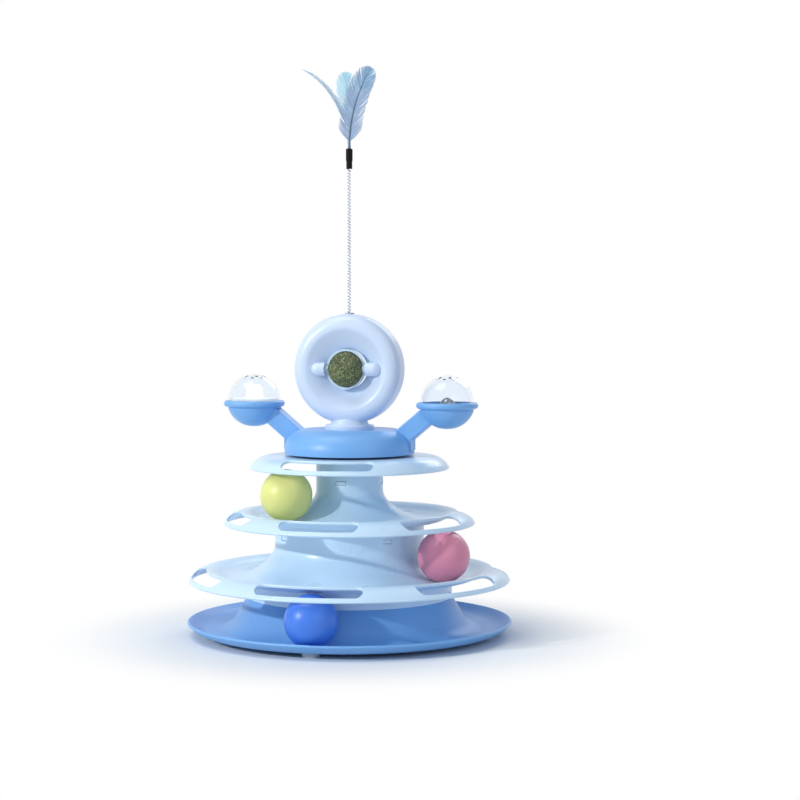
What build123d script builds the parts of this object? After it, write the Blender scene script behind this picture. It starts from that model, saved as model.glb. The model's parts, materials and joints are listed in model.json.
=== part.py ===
from build123d import *
import os
from math import atan2, cos, pi, radians, sin, sqrt, tan

os.makedirs("parts", exist_ok=True)

# Cat ball track toy: stacked ball tracks, a spinner with two cups and a ring head, and a feather wand.
# Lengths are in millimetres. The origin is on the tower axis at floor level, +Z up, front toward -Y.

# Common fits
overrun = 2.0
fit_gap = 0.2
press_gap = 0.05
run_gap = 0.06
rest_gap = 0.3
window_gap = 0.3

# Tower shells
wall = 2.2
rim_round = 0.9
lip_rise = 5.0
lip_drop = 9.4
lip_width = 14.5
slot_width = 10.8
slot_rim_margin = 2.8
slot_round = 0.6
flare_rise_share = 0.88
flare_tight_share = 0.57
skirt_root = 0.8
spigot_height = 9.0
spigot_wall = 2.0
spigot_root = 5.0
hook_width = 7.4
hook_height = 2.6
hook_lift = 2.0
hook_recess = 0.5
hook_count = 4

# Foot pads
pad_thick = 3.4
pad_diameter = 13.0
pad_ring_share = 0.851
pad_round = 0.6
pad_count = 4

# Base track
base_rim_radius = 124.0
base_rim_rise = 6.4
base_lip_width = 8.0
base_neck_share = 0.637
base_neck_height_share = 0.598
base_cone_foot_share = 0.75
base_cone_blend = 16.0
base_lip_blend = 14.0

# Lower track
lower_lift_share = 1.033
lower_neck_share = 0.463
lower_neck_height_share = 0.62
lower_flare_run_share = 0.925
lower_valley_share = 0.742
lower_slot_count = 6
lower_slot_angle = 35.0

# Middle track
middle_lift_share = 1.1115
middle_rim_share = 0.782
middle_neck_share = 0.208
middle_neck_height_share = 0.526
middle_flare_run_share = 0.826
middle_valley_share = 0.54
middle_slot_count = 6
middle_slot_angle = 32.0

# Top cover
cover_lift_share = 1.2078
cover_rim_share = 0.6225
cover_slot_count = 2
cover_slot_angle = 51.0
post_radius = 5.0
post_height = 10.4
thrust_radius = 9.0
thrust_height = 0.6

# Track balls
ball_share = 0.3185
ball_wall = 1.6
blue_orbit_share = 0.8468
blue_azimuth = 0.0
pink_orbit_share = 0.7056
pink_azimuth = 68.7
yellow_orbit_share = 0.4677
yellow_azimuth = -40.0

# Spinner bearing
bush_wall = 2.4
bush_flange_radius = 9.0
bush_flange_thick = 1.6
bush_end_play = 0.3
washer_radius = 8.5
washer_thick = 1.2
spindle_screw_radius = 1.5
spindle_head_radius = 3.0
spindle_head_height = 2.0
spindle_screw_depth = 9.0

# Spinner base plate
plate_lift = 1.0
plate_ring_radius = 43.0
plate_ring_height = 1.8
plate_thick = 2.0
hub_wall = 3.0
hub_top_gap = 0.2

# Spinner dome
dome_radius = 50.0
dome_top_radius = 36.6
dome_height = 18.6
dome_wall = 2.2
dome_skirt = 3.2
dome_lift = 1.8
boss_radius = 3.5
boss_ring_radius = 28.0
boss_count = 3
boss_first_angle = 30.0
screw_radius = 1.25
screw_head_radius = 2.5
screw_head_height = 1.8
screw_grip = 9.0

# Arms and cups
arm_angle = 40.0
arm_thick = 13.6
arm_depth = 15.0
arm_round = 1.2
arm_root_x = 34.0
arm_heel_x = 50.4
arm_heel_height = 7.9
arm_screw_x = 39.5
cup_x = 77.0
cup_floor_lift = 1.2
cup_floor_radius = 1.0
cup_radius = 20.2
cup_wall = 2.0
cup_bowl_depth = 15.5
cup_flange_height = 4.6
cup_flange_radius = 23.7
cup_flange_flat = 1.4
cup_side_height = 1.8
cup_mouth_gap = 0.2
cup_mouth_depth = 3.2

# Clear domes
clear_wall = 1.2
clear_collar = 3.5
clear_hole_radius = 1.2
clear_hole_ring = 7.5
clear_hole_count = 6

# Light unit in the left cup
light_plate_lift = 1.7
light_plate_thick = 2.2
light_rim_wall = 1.6
light_pod_radius = 11.5
light_pod_wall = 1.4
light_pod_depth = 13.4
light_ledge_width = 1.1
light_ledge_thick = 1.0
board_radius_gap = 0.3
board_thick = 1.2
board_drop = 4.0
door_thick = 2.0
cell_radius = 5.75
cell_count = 2
led_radius = 2.5
led_flange_radius = 2.9
led_flange_height = 1.0
led_height = 8.6
led_hole_gap = 0.4
diffuser_radius = 6.2
diffuser_height = 10.4
diffuser_wall = 1.2
diffuser_foot_radius = 7.2
diffuser_foot_height = 1.0
diffuser_round = 3.6
switch_radius = 1.8
switch_height = 3.2
switch_offset = 7.0

# Bell and its tray in the right cup
tray_wall = 1.4
tray_seat_width = 2.1
tray_hump_radius = 2.8
tray_hump_height = 2.6
bell_radius = 5.5
bell_wall = 0.6
bell_orbit = 8.5
bell_azimuth = 15.0
bell_drop = 4.0
bell_slit = 1.2
bead_radius = 1.5

# Ring head
head_gap = 4.3
head_ring_radius = 28.4
head_radial_half = 13.7
head_axial_half = 14.0
head_wall = 2.2
head_foot_radius = 19.0
head_foot_thick = 3.6
head_foot_round = 1.2
head_neck_radius = 15.5
head_neck_taper = 3.0
head_neck_height = 6.0
head_stem_radius = 6.0
head_stem_height = 13.0
head_plug_radius = 7.8
head_lug_radius = 9.0
head_lug_height = 2.2
head_crest_radius = 31.0
head_hole_edge = 3.5
head_hole_round = 4.0
head_crest_round = 5.0
head_outer_round = 8.6
head_boss_ring_radius = 33.0
head_boss_radius = 3.8
head_boss_inset = 1.6
head_boss_count = 4
head_boss_first_angle = 45.0
head_screw_radius = 1.5
head_screw_head_radius = 2.8
head_screw_head_height = 2.0
head_screw_seat = 8.0
head_screw_length = 17.0

# Catnip ball, its half shell and pivots
catnip_radius = 13.5
catnip_forward = 11.0
shell_gap = 0.3
shell_wall = 1.7
pivot_radius = 2.5
pivot_length = 7.0
pivot_boss_radius = 5.2
pivot_boss_length = 6.0
pivot_end_gap = 0.6

# Wand
socket_radius = 3.0
socket_depth = 5.9
socket_floor = 2.0
socket_flange_radius = 3.7
socket_flange_height = 1.1
spring_wire = 0.9
spring_radius = 1.1
spring_pitch = 2.42
spring_turns = 49
spring_end_bend = 0.9
spring_bore_gap = 0.3
sleeve_lap = 7.2
sleeve_radius = 2.3
sleeve_cap_radius = 2.6
sleeve_cap_height = 8.0
sleeve_cap_cone = 1.4
quill_bore = 1.7
quill_radius = 0.55
quill_offset = 0.85
feather_azimuth = 15.0
vane_thick = 0.5
vane_wide_share = 0.56
front_reach = 17.0
front_height = 62.0
front_width = 19.0
front_foot_share = 0.1
rear_reach = -4.0
rear_height = 58.0
rear_width = 14.0
rear_foot_share = 0.45
left_reach = -38.0
left_height = 60.0
left_width = 14.0
left_foot_share = 0.42
left_turn = -22.0

# Derived sizes of the tower, which all follow the base
pad_ring_radius = base_rim_radius * pad_ring_share
base_neck_radius = base_rim_radius * base_neck_share
base_cone_foot_radius = base_rim_radius * base_cone_foot_share
lower_rim_radius = base_rim_radius
lower_neck_radius = base_rim_radius * lower_neck_share
lower_valley_radius = base_rim_radius * lower_valley_share
middle_rim_radius = base_rim_radius * middle_rim_share
middle_neck_radius = base_rim_radius * middle_neck_share
middle_valley_radius = base_rim_radius * middle_valley_share
cover_rim_radius = base_rim_radius * cover_rim_share
ball_diameter = base_rim_radius * ball_share
ball_radius = ball_diameter / 2
blue_orbit = base_rim_radius * blue_orbit_share
pink_orbit = base_rim_radius * pink_orbit_share
yellow_orbit = base_rim_radius * yellow_orbit_share

# Derived levels, where each track leaves room for its ball
lower_lift = ball_diameter * lower_lift_share
middle_lift = ball_diameter * middle_lift_share
cover_lift = ball_diameter * cover_lift_share
base_neck_height = lower_lift * base_neck_height_share
lower_neck_height = middle_lift * lower_neck_height_share
middle_neck_height = cover_lift * middle_neck_height_share
base_level = pad_thick + wall
base_neck_top = base_level + base_neck_height
lower_level = base_level + lower_lift
lower_neck_top = lower_level + lower_neck_height
middle_level = lower_level + middle_lift
middle_neck_top = middle_level + middle_neck_height
cover_level = middle_level + cover_lift
thrust_level = cover_level + thrust_height
post_top = cover_level + post_height
bush_radius = post_radius + run_gap + bush_wall
bush_top = post_top - bush_end_play
plate_bottom = cover_level + plate_lift
plate_shelf = plate_bottom + plate_ring_height
plate_top = plate_shelf + plate_thick
plate_radius = dome_radius - dome_wall - fit_gap
dome_bottom = cover_level + dome_lift
dome_top = dome_bottom + dome_height
dome_roof = dome_top - dome_wall
arm_heel = plate_top + arm_heel_height
cup_floor = dome_top + cup_floor_lift
cup_flange_bottom = cup_floor + cup_bowl_depth
cup_rim = cup_flange_bottom + cup_flange_height
light_plate_top = cup_rim + light_plate_lift
cup_ledge = cup_rim - cup_mouth_depth
cup_mouth_radius = cup_radius + cup_mouth_gap
cup_bore_radius = cup_radius - cup_wall
clear_centre = cup_ledge + clear_collar
clear_inner = cup_radius - clear_wall
insert_radius = clear_inner - fit_gap * 2
head_z = dome_top + head_gap + head_ring_radius + head_radial_half
head_outer = head_ring_radius + head_radial_half
head_top = head_z + head_outer
head_bottom = head_z - head_outer
shell_inner = catnip_radius + shell_gap
shell_outer = shell_inner + shell_wall
pivot_start = shell_outer + pivot_end_gap
socket_top = head_top + socket_flange_height
socket_bore = spring_radius + spring_end_bend + spring_wire / 2 - spring_bore_gap
socket_bottom = head_top - socket_depth
spring_start = socket_bottom + socket_floor
spring_end = spring_start + spring_turns * spring_pitch + 2 * (spring_end_bend + spring_wire)
sleeve_bottom = spring_end - sleeve_lap
sleeve_step = spring_end + rest_gap
sleeve_top = sleeve_step + sleeve_cap_height


def front_vector(azimuth, radius):
    """Plan position at a radius, with the azimuth counted from the front toward +X."""
    return radius * sin(radians(azimuth)), -radius * cos(radians(azimuth))


def save(shape, name):
    shape.label = name
    export_step(shape, f"parts/{name}.step")


# Track discs

def track_lip(crest_radius, level):
    """The rounded lip of a track disc: an arc from its crest down to its rim."""
    crest = (crest_radius, level)
    rim = (crest_radius + lip_width, level - lip_drop)
    TangentArc(crest, rim, tangent=(1, 0))


def neck_spigot(neck_radius, neck_top):
    """Ring on a neck that the skirt of the next disc slides over."""
    outside = neck_radius - wall - fit_gap
    inside = outside - spigot_wall
    root = neck_radius - wall / 2
    with BuildSketch(Plane.XZ) as section:
        with BuildLine():
            Polyline(
                (inside, neck_top - spigot_root),
                (root, neck_top - spigot_root),
                (root, neck_top),
                (outside, neck_top),
                (outside, neck_top + spigot_height),
                (inside, neck_top + spigot_height),
                close=True,
            )
        make_face()
    revolve(section.sketch, axis=Axis.Z)


def neck_hooks(neck_radius, neck_top, first_angle):
    """Snap hooks that stand on the spigot and fill the windows of the next skirt."""
    inside = neck_radius - wall - fit_gap - spigot_wall / 2
    outside = neck_radius - hook_recess
    with BuildSketch(Plane.XY.offset(neck_top + hook_lift)) as hooks:
        with PolarLocations((inside + outside) / 2, hook_count, start_angle=first_angle):
            Rectangle(outside - inside, hook_width)
    extrude(hooks.sketch, amount=hook_height)


def skirt(neck_radius, neck_top, plate_underside, first_angle):
    """Ring below a disc that closes over the neck below, with its hook windows."""
    with BuildSketch(Plane.XY.offset(neck_top)) as collar:
        Circle(neck_radius)
        Circle(neck_radius - wall, mode=Mode.SUBTRACT)
    extrude(collar.sketch, amount=plate_underside - neck_top)
    with BuildSketch(Plane.XY.offset(neck_top + hook_lift - window_gap)) as windows:
        with PolarLocations(neck_radius, hook_count, start_angle=first_angle):
            Rectangle(2 * (wall + overrun), hook_width + 2 * window_gap)
    extrude(windows.sketch, amount=hook_height + 2 * window_gap, mode=Mode.SUBTRACT)


def lip_slots(rim_radius, level, count, angle):
    """Finger slots cut through the lip, one of them at the front."""
    slot_radius = rim_radius - slot_rim_margin - slot_width / 2
    middle_line = Edge.make_circle(slot_radius, start_angle=-90 - angle / 2, end_angle=-90 + angle / 2)
    with BuildSketch(Plane.XY.offset(level + lip_rise + overrun)) as slots:
        with PolarLocations(0, count):
            SlotArc(middle_line, slot_width)
    extrude(slots.sketch, amount=-lip_rise - lip_drop - wall - 2 * overrun, mode=Mode.SUBTRACT)


def slot_edges(track, rim_radius):
    """The edges of the finger slots on the top and underside of the lip."""
    slot_radius = rim_radius - slot_rim_margin - slot_width / 2
    wall_radii = (slot_width / 2, slot_radius - slot_width / 2, slot_radius + slot_width / 2)
    walls = [
        face
        for face in track.faces().filter_by(GeomType.CYLINDER)
        if min(abs(face.radius - radius) for radius in wall_radii) < press_gap
    ]
    return [edge for face in walls for edge in face.edges() if edge.geom_type != GeomType.LINE]


def track_disc(level, rim_radius, neck_radius, neck_top, valley_radius, flare_run_share):
    """Shell of a track disc: hollow neck, flare, valley for the ball and a rounded lip."""
    crest_radius = rim_radius - lip_width
    crest_level = level + lip_rise
    middle = ((valley_radius + crest_radius) / 2, level + lip_rise / 2)
    flare = (neck_top - level) * flare_rise_share
    run = (valley_radius - neck_radius) * flare_run_share
    tight = flare * flare_tight_share
    wide = (run * run - 2 * run * tight + flare * flare) / (2 * (flare - tight))
    lean = atan2(wide - flare, run - tight)
    flare_foot = (neck_radius + run, level)
    flare_join = (neck_radius + tight - tight * cos(lean), level + flare - tight * sin(lean))
    with BuildSketch(Plane.XZ) as section:
        with BuildLine():
            Line((neck_radius, neck_top), (neck_radius, level + flare))
            bend = TangentArc((neck_radius, level + flare), flare_join, tangent=(0, -1))
            TangentArc(flare_join, flare_foot, tangent=bend % 1)
            Line(flare_foot, (valley_radius, level))
            rise = TangentArc((valley_radius, level), middle, tangent=(1, 0))
            TangentArc(middle, (crest_radius, crest_level), tangent=rise % 1)
            track_lip(crest_radius, crest_level)
            offset(amount=wall, side=Side.RIGHT)
        face = make_face()
        fillet(face.vertices().sort_by(Axis.X)[-2:], rim_round)
    revolve(section.sketch, axis=Axis.Z)


with BuildPart() as base_track:
    with BuildSketch(Plane.XZ):
        with BuildLine():
            FilletPolyline(
                (base_neck_radius, base_neck_top),
                (base_cone_foot_radius, base_level),
                (base_rim_radius - base_lip_width, base_level),
                (base_rim_radius, base_level + base_rim_rise),
                radius=[base_cone_blend, base_lip_blend],
            )
            offset(amount=wall, side=Side.RIGHT)
        base_face = make_face()
        fillet(base_face.vertices().sort_by(Axis.X)[-2:], rim_round)
    revolve(axis=Axis.Z)
    neck_spigot(base_neck_radius, base_neck_top)
    neck_hooks(base_neck_radius, base_neck_top, 0)
save(base_track.part, "base_track")

with BuildPart() as foot_pads:
    with BuildSketch(Plane.XY):
        with PolarLocations(pad_ring_radius, pad_count):
            Circle(pad_diameter / 2)
    extrude(amount=pad_thick)
    fillet(foot_pads.edges().group_by(Axis.Z)[0], pad_round)
save(foot_pads.part, "foot_pads")

with BuildPart() as lower_track:
    track_disc(
        lower_level, lower_rim_radius, lower_neck_radius, lower_neck_top,
        lower_valley_radius, lower_flare_run_share,
    )
    skirt(base_neck_radius, base_neck_top, lower_level + skirt_root, 0)
    neck_spigot(lower_neck_radius, lower_neck_top)
    neck_hooks(lower_neck_radius, lower_neck_top, 45)
    lip_slots(lower_rim_radius, lower_level, lower_slot_count, lower_slot_angle)
    fillet(slot_edges(lower_track, lower_rim_radius), slot_round)
save(lower_track.part, "lower_track")

with BuildPart() as middle_track:
    track_disc(
        middle_level, middle_rim_radius, middle_neck_radius, middle_neck_top,
        middle_valley_radius, middle_flare_run_share,
    )
    skirt(lower_neck_radius, lower_neck_top, middle_level - wall / 2, 45)
    neck_spigot(middle_neck_radius, middle_neck_top)
    neck_hooks(middle_neck_radius, middle_neck_top, 0)
    lip_slots(middle_rim_radius, middle_level, middle_slot_count, middle_slot_angle)
    fillet(slot_edges(middle_track, middle_rim_radius), slot_round)
save(middle_track.part, "middle_track")

with BuildPart() as top_cover:
    cover_crest = cover_rim_radius - lip_width
    with BuildSketch(Plane.XZ):
        with BuildLine():
            Line((0, cover_level), (cover_crest, cover_level))
            track_lip(cover_crest, cover_level)
            offset(amount=wall, side=Side.RIGHT)
        cover_face = make_face()
        fillet(cover_face.vertices().sort_by(Axis.X)[-2:], rim_round)
    revolve(axis=Axis.Z)
    skirt(middle_neck_radius, middle_neck_top, cover_level - wall / 2, 0)
    lip_slots(cover_rim_radius, cover_level - lip_rise, cover_slot_count, cover_slot_angle)
    fillet(slot_edges(top_cover, cover_rim_radius), slot_round)
    with BuildSketch(Plane.XY.offset(cover_level)):
        Circle(thrust_radius)
    extrude(amount=thrust_height)
    with BuildSketch(Plane.XY.offset(cover_level)):
        Circle(post_radius)
    extrude(amount=post_height)
    with BuildSketch(Plane.XY.offset(post_top)):
        Circle(spindle_screw_radius + press_gap)
    extrude(amount=-spindle_screw_depth - rest_gap, mode=Mode.SUBTRACT)
save(top_cover.part, "top_cover")


# Track balls

def track_ball(name, azimuth, orbit, level):
    x, y = front_vector(azimuth, orbit)
    with BuildPart(Plane((x, y, level + rest_gap + ball_radius))) as ball:
        Sphere(ball_radius)
        Sphere(ball_radius - ball_wall, mode=Mode.SUBTRACT)
    save(ball.part, name)


track_ball("blue_ball", blue_azimuth, blue_orbit, base_level)
track_ball("pink_ball", pink_azimuth, pink_orbit, lower_level)
track_ball("yellow_ball", yellow_azimuth, yellow_orbit, middle_level)


# Spinner bearing

def ring(inside, outside, bottom, top, mode=Mode.ADD):
    """Plain ring about the current axis between two levels."""
    with BuildSketch(Plane.XY.offset(bottom)) as band:
        Circle(outside)
        if inside > 0:
            Circle(inside, mode=Mode.SUBTRACT)
    extrude(band.sketch, amount=top - bottom, mode=mode)


with BuildPart() as spinner_bush:
    ring(post_radius + run_gap, bush_flange_radius, thrust_level, thrust_level + bush_flange_thick)
    ring(post_radius + run_gap, bush_radius, thrust_level, bush_top)
save(spinner_bush.part, "spinner_bush")

with BuildPart() as spindle_washer:
    ring(spindle_screw_radius + fit_gap, washer_radius, post_top, post_top + washer_thick)
save(spindle_washer.part, "spindle_washer")

with BuildPart() as spindle_screw:
    head_seat = post_top + washer_thick
    ring(0, spindle_screw_radius, post_top - spindle_screw_depth, head_seat)
    ring(0, spindle_head_radius, head_seat, head_seat + spindle_head_height)
    fillet(spindle_screw.faces().sort_by(Axis.Z)[-1].edges(), spindle_head_height / 3)
save(spindle_screw.part, "spindle_screw")


# Spinner base plate and dome

def spinner_screw_places():
    return PolarLocations(boss_ring_radius, boss_count, start_angle=boss_first_angle)


def arm_screw_places():
    return Locations((arm_screw_x, 0), (-arm_screw_x, 0))


with BuildPart() as spinner_base:
    ring(0, plate_ring_radius, plate_bottom, plate_top)
    ring(0, plate_radius, plate_shelf, plate_top)
    ring(0, bush_radius + hub_wall, plate_top, bush_top - hub_top_gap)
    ring(0, bush_flange_radius + fit_gap, plate_bottom, thrust_level + bush_flange_thick, mode=Mode.SUBTRACT)
    ring(0, bush_radius + press_gap, plate_bottom, bush_top, mode=Mode.SUBTRACT)
    for places in (spinner_screw_places(), arm_screw_places()):
        with BuildSketch(Plane.XY.offset(plate_bottom)):
            with places:
                Circle(screw_head_radius + fit_gap)
        extrude(amount=screw_head_height, mode=Mode.SUBTRACT)
        with BuildSketch(Plane.XY.offset(plate_bottom)):
            with places:
                Circle(screw_radius + fit_gap)
        extrude(amount=plate_top - plate_bottom, mode=Mode.SUBTRACT)
save(spinner_base.part, "spinner_base")


def side_plane(side):
    """Upright plane through the tower axis, with its x pointing along one arm."""
    return Plane((0, 0, 0), x_dir=(side, 0, 0), z_dir=(0, -side, 0))


def arm_outline(grow):
    """Side outline of an arm, from its root block up into its cup."""
    slope = tan(radians(arm_angle))
    rise = arm_thick / cos(radians(arm_angle))
    top = arm_heel + rise
    with BuildLine() as edges:
        Polyline(
            (arm_root_x, plate_top),
            (arm_heel_x, plate_top),
            (arm_heel_x, arm_heel),
            (cup_x, arm_heel + slope * (cup_x - arm_heel_x)),
            (cup_x, top + slope * (cup_x - arm_heel_x)),
            (arm_root_x, top + slope * (arm_root_x - arm_heel_x)),
            close=True,
        )
    make_face(edges.edges())
    if grow > 0:
        offset(amount=grow)


with BuildPart() as spinner_dome:
    shoulder = dome_bottom + dome_skirt
    with BuildSketch(Plane.XZ):
        with BuildLine():
            Line((dome_radius, dome_bottom), (dome_radius, shoulder))
            TangentArc((dome_radius, shoulder), (dome_top_radius, dome_top), tangent=(0, 1))
            Line((dome_top_radius, dome_top), (0, dome_top))
            offset(amount=dome_wall, side=Side.LEFT)
        make_face()
    revolve(axis=Axis.Z)
    with BuildSketch(Plane.XY.offset(plate_top)):
        with spinner_screw_places():
            Circle(boss_radius)
    extrude(amount=dome_top - dome_wall / 2 - plate_top)
    with BuildSketch(Plane.XY.offset(plate_top)):
        with spinner_screw_places():
            Circle(screw_radius + press_gap)
    extrude(amount=screw_grip + rest_gap, mode=Mode.SUBTRACT)
    for side in (1, -1):
        with BuildSketch(side_plane(side)):
            arm_outline(window_gap)
        extrude(amount=arm_depth / 2 + window_gap, both=True, mode=Mode.SUBTRACT)
    ring(0, head_plug_radius + fit_gap, dome_roof - overrun, dome_top + overrun, mode=Mode.SUBTRACT)
save(spinner_dome.part, "spinner_dome")


def plate_screws(name, places):
    """Screws driven up through the base plate."""
    head_bottom = plate_bottom + rest_gap
    head_top = plate_bottom + screw_head_height
    with BuildPart() as screws:
        with BuildSketch(Plane.XY.offset(head_bottom)):
            with places:
                Circle(screw_head_radius)
        extrude(amount=head_top - head_bottom)
        with BuildSketch(Plane.XY.offset(head_top)):
            with places:
                Circle(screw_radius)
        extrude(amount=plate_top + screw_grip - head_top)
    save(screws.part, name)


plate_screws("spinner_screws", spinner_screw_places())
plate_screws("arm_screws", arm_screw_places())


# Arms with their cups

def cup_axis(side):
    return Axis((side * cup_x, 0, 0), (0, 0, 1))


def cup_plane(side):
    """Upright plane through a cup's axis, with x counted from that axis."""
    return Plane((side * cup_x, 0, 0), x_dir=(1, 0, 0), z_dir=(0, -1, 0))


def arm(name, side):
    flange_edge = cup_flange_radius - cup_flange_flat
    with BuildPart() as body:
        with BuildSketch(side_plane(side)):
            arm_outline(0)
        extrude(amount=arm_depth / 2, both=True)
        slope = (side * cos(radians(arm_angle)), 0, sin(radians(arm_angle)))
        fillet(body.edges().filter_by(Axis((0, 0, 0), slope)), arm_round)
        with BuildSketch(cup_plane(side)):
            with BuildLine():
                Line((0, cup_floor), (cup_floor_radius, cup_floor))
                side_foot = (cup_radius, cup_flange_bottom - cup_side_height)
                TangentArc((cup_floor_radius, cup_floor), side_foot, tangent=(1, 0))
                Line(side_foot, (cup_radius, cup_flange_bottom))
                Line((cup_radius, cup_flange_bottom), (flange_edge, cup_flange_bottom))
                ThreePointArc(
                    (flange_edge, cup_flange_bottom),
                    (cup_flange_radius, cup_flange_bottom + cup_flange_height / 2),
                    (flange_edge, cup_rim),
                )
                Polyline((flange_edge, cup_rim), (0, cup_rim), (0, cup_floor))
            make_face()
        revolve(axis=cup_axis(side))
        with BuildSketch(cup_plane(side)):
            with BuildLine():
                bore_foot = (cup_bore_radius, cup_flange_bottom - cup_side_height)
                Line((0, cup_floor + cup_wall), (cup_floor_radius, cup_floor + cup_wall))
                TangentArc((cup_floor_radius, cup_floor + cup_wall), bore_foot, tangent=(1, 0))
                Polyline(
                    bore_foot,
                    (cup_bore_radius, cup_ledge),
                    (cup_mouth_radius, cup_ledge),
                    (cup_mouth_radius, cup_rim + arm_thick),
                    (0, cup_rim + arm_thick),
                    (0, cup_floor + cup_wall),
                )
            make_face()
        revolve(axis=cup_axis(side), mode=Mode.SUBTRACT)
        with BuildSketch(Plane.XY.offset(plate_top)):
            with Locations((side * arm_screw_x, 0)):
                Circle(screw_radius + press_gap)
        extrude(amount=screw_grip + rest_gap, mode=Mode.SUBTRACT)
    save(body.part, name)


arm("left_arm", -1)
arm("right_arm", 1)


def clear_dome(name, side):
    with BuildPart() as dome:
        with BuildSketch(cup_plane(side)):
            with BuildLine():
                Line((clear_inner, cup_ledge), (cup_radius, cup_ledge))
                Line((cup_radius, cup_ledge), (cup_radius, clear_centre))
                TangentArc((cup_radius, clear_centre), (0, clear_centre + cup_radius), tangent=(0, 1))
                Line((0, clear_centre + cup_radius), (0, clear_centre + clear_inner))
                TangentArc((0, clear_centre + clear_inner), (clear_inner, clear_centre), tangent=(1, 0))
                Line((clear_inner, clear_centre), (clear_inner, cup_ledge))
            make_face()
        revolve(axis=cup_axis(side))
        with BuildSketch(Plane((side * cup_x, 0, clear_centre))):
            with PolarLocations(clear_hole_ring, clear_hole_count):
                Circle(clear_hole_radius)
        extrude(amount=cup_radius + overrun, mode=Mode.SUBTRACT)
    save(dome.part, name)


clear_dome("left_dome", -1)
clear_dome("right_dome", 1)

# Light unit in the left cup

light_plate_bottom = light_plate_top - light_plate_thick
light_pod_bottom = light_plate_bottom - light_pod_depth
light_pod_bore = light_pod_radius - light_pod_wall
board_top = light_plate_bottom - board_drop
board_bottom = board_top - board_thick
door_top = light_pod_bottom + door_thick
light_origin = Plane((-cup_x, 0, 0))


def light_ring(inside, outside, bottom, top, mode=Mode.ADD):
    """Ring about the left cup's axis between two levels."""
    with BuildSketch(light_origin.offset(bottom)) as band:
        Circle(outside)
        if inside > 0:
            Circle(inside, mode=Mode.SUBTRACT)
    extrude(band.sketch, amount=top - bottom, mode=mode)


with BuildPart() as light_housing:
    light_ring(led_flange_radius + led_hole_gap, insert_radius, light_plate_bottom, light_plate_top)
    light_ring(insert_radius - light_rim_wall, insert_radius, cup_ledge, light_plate_bottom)
    light_ring(light_pod_bore, light_pod_radius, light_pod_bottom, light_plate_bottom)
    ledge_bottom = board_bottom - light_ledge_thick
    light_ring(light_pod_bore - light_ledge_width, light_pod_bore, ledge_bottom, board_bottom)
save(light_housing.part, "light_housing")

with BuildPart() as light_diffuser:
    diffuser_top = light_plate_top + diffuser_height
    light_ring(0, diffuser_foot_radius, light_plate_top, light_plate_top + diffuser_foot_height)
    light_ring(0, diffuser_radius, light_plate_top, diffuser_top)
    fillet(light_diffuser.edges().group_by(Axis.Z)[-1], diffuser_round)
    diffuser_roof = diffuser_top - diffuser_wall
    light_ring(0, diffuser_radius - diffuser_wall, light_plate_top, diffuser_roof, Mode.SUBTRACT)
save(light_diffuser.part, "light_diffuser")

with BuildPart() as light_board:
    light_ring(0, light_pod_bore - board_radius_gap, board_bottom, board_top)
save(light_board.part, "light_board")

with BuildPart() as light_led:
    light_ring(0, led_flange_radius, board_top, board_top + led_flange_height)
    light_ring(0, led_radius, board_top, board_top + led_height)
    fillet(light_led.edges().group_by(Axis.Z)[-1], led_radius - press_gap)
save(light_led.part, "light_led")

with BuildPart() as coin_cells:
    cell_height = (board_bottom - door_top) / cell_count
    for index in range(cell_count):
        cell_bottom = door_top + index * cell_height
        light_ring(0, cell_radius, cell_bottom, cell_bottom + cell_height - press_gap)
save(coin_cells.part, "coin_cells")

with BuildPart() as battery_door:
    light_ring(0, light_pod_bore - board_radius_gap, light_pod_bottom, door_top)
save(battery_door.part, "battery_door")

with BuildPart() as motion_switch:
    with BuildSketch(light_origin.offset(board_top)):
        with Locations((switch_offset, 0)):
            Circle(switch_radius)
    extrude(amount=switch_height)
save(motion_switch.part, "motion_switch")

# Bell and its tray in the right cup

bell_centre = cup_rim - bell_drop + bell_radius / 2
groove_level = bell_centre - bell_radius - rest_gap
hump_level = groove_level + tray_hump_height
groove_half = bell_orbit - tray_hump_radius

with BuildPart() as bell_tray:
    with BuildSketch(cup_plane(1)):
        with BuildLine():
            Line((0, hump_level), (tray_hump_radius, hump_level))
            ThreePointArc(
                (tray_hump_radius, hump_level),
                (bell_orbit, groove_level),
                (bell_orbit + groove_half, hump_level),
            )
            Polyline(
                (bell_orbit + groove_half, hump_level),
                (insert_radius - tray_seat_width, cup_ledge + tray_wall),
                (insert_radius, cup_ledge + tray_wall),
            )
            offset(amount=tray_wall, side=Side.RIGHT)
        make_face()
    revolve(axis=cup_axis(1))
save(bell_tray.part, "bell_tray")

bell_x, bell_y = front_vector(bell_azimuth, bell_orbit)

with BuildPart(Plane((cup_x + bell_x, bell_y, bell_centre))) as jingle_bell:
    Sphere(bell_radius)
    Sphere(bell_radius - bell_wall, mode=Mode.SUBTRACT)
    with Locations((0, 0, -bell_radius)):
        Box(bell_radius, bell_slit, bell_radius, mode=Mode.SUBTRACT)
save(jingle_bell.part, "jingle_bell")

bead_drop = bell_radius - bell_wall - bead_radius - rest_gap

with BuildPart(Plane((cup_x + bell_x, bell_y, bell_centre - bead_drop))) as bell_bead:
    Sphere(bead_radius)
save(bell_bead.part, "bell_bead")

# Ring head

head_plane = Plane((0, 0, head_z))
head_axis = Axis((0, 0, head_z), (0, 1, 0))


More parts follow.
